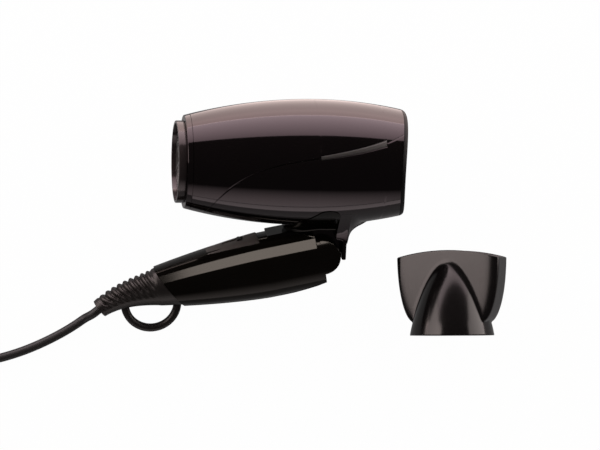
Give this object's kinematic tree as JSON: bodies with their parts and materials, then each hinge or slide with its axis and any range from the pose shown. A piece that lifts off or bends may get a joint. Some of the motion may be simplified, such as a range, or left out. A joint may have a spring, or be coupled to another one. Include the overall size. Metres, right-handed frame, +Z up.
{
  "type": "travel hair dryer",
  "caption": "Compact travel hair dryer lying on its side with its handle folded under the glossy barrel, a ribbed cord guard with a hanging loop, and a loose flat-mouthed nozzle beside it.",
  "frame": {"origin": "middle of the bottom of the dryer and nozzle, without the cord, on the floor they lie on", "axes": "+X along the barrel from its outlet to its inlet, +Y from the folded handle to the barrel, +Z up from the floor"},
  "size_m": [0.4253, 0.1639, 0.076],
  "materials": {
    "gloss_shell": "polished near-black moulding",
    "satin_shell": "satin near-black moulding",
    "grey_trim": "plain grey moulding",
    "ring_grey": "smooth dark mauve-grey moulding",
    "inner_black": "fine-grained black moulding",
    "filter_mesh": "grey filter gauze and frame",
    "guard_black": "matt charcoal flexible moulding",
    "cord_black": "smooth black cord sheath",
    "plug_black": "satin black moulding",
    "pin_metal": "nickel-plated pins",
    "steel": "plain steel",
    "nylon": "plain moulded plastic",
    "mica": "mica sheet",
    "heater_wire": "oxidised resistance wire",
    "cutout": "pale moulded case",
    "nozzle_black": "matt black heat-resistant moulding"
  },
  "bodies": {
    "handle": {"handle_near_shell": "satin_shell", "handle_far_shell": "satin_shell", "handle_screws": "steel", "switch_plate": "grey_trim", "switch_body": "nylon", "strain_relief": "guard_black", "cord_clamp": "nylon", "cord_lead": "cord_black", "cord_coil": "cord_black", "cord_tail": "cord_black", "coil_tie": "plug_black", "plug_body": "plug_black", "plug_pins": "pin_metal", "hinge_pin": "steel", "hinge_washers": "nylon"},
    "barrel": {"upper_housing": "gloss_shell", "lower_housing": "gloss_shell", "side_trims": "grey_trim", "front_bezel": "ring_grey", "outlet_ring": "ring_grey", "outlet_grille": "inner_black", "hinge_cover": "satin_shell", "rear_rim": "ring_grey", "inlet_grille": "inner_black", "inlet_filter": "filter_mesh", "motor_mount": "nylon", "motor": "steel", "heat_shield": "mica", "heater_boards": "mica", "heater_winding": "heater_wire", "thermal_cutout": "cutout"},
    "fan": {"fan": "nylon", "fan_shaft": "steel"},
    "slider": {"switch_slider": "inner_black"},
    "nozzle": {"nozzle": "nozzle_black"}
  },
  "joints": [
    {"name": "fold", "type": "hinge", "parent": "handle", "child": "barrel", "pos_m": [0.01225, -0.01879, 0.02065], "axis": [0, 0.3107, -0.9505], "range_deg": [0, 65]},
    {"name": "switch_slide", "type": "slide", "parent": "handle", "child": "slider", "axis": [-0.9409, -0.322, -0.1052], "range_m": [0, 0.008]},
    {"name": "fan_spin", "type": "hinge", "parent": "barrel", "child": "fan", "pos_m": [0.02925, 0.03444, 0.03805], "axis": [1, 0, 0], "continuous": true},
    {"name": "nozzle_lift", "type": "slide", "parent": "barrel", "child": "nozzle", "axis": [0, 0, 1], "range_m": [0, 0.12]}
  ]
}
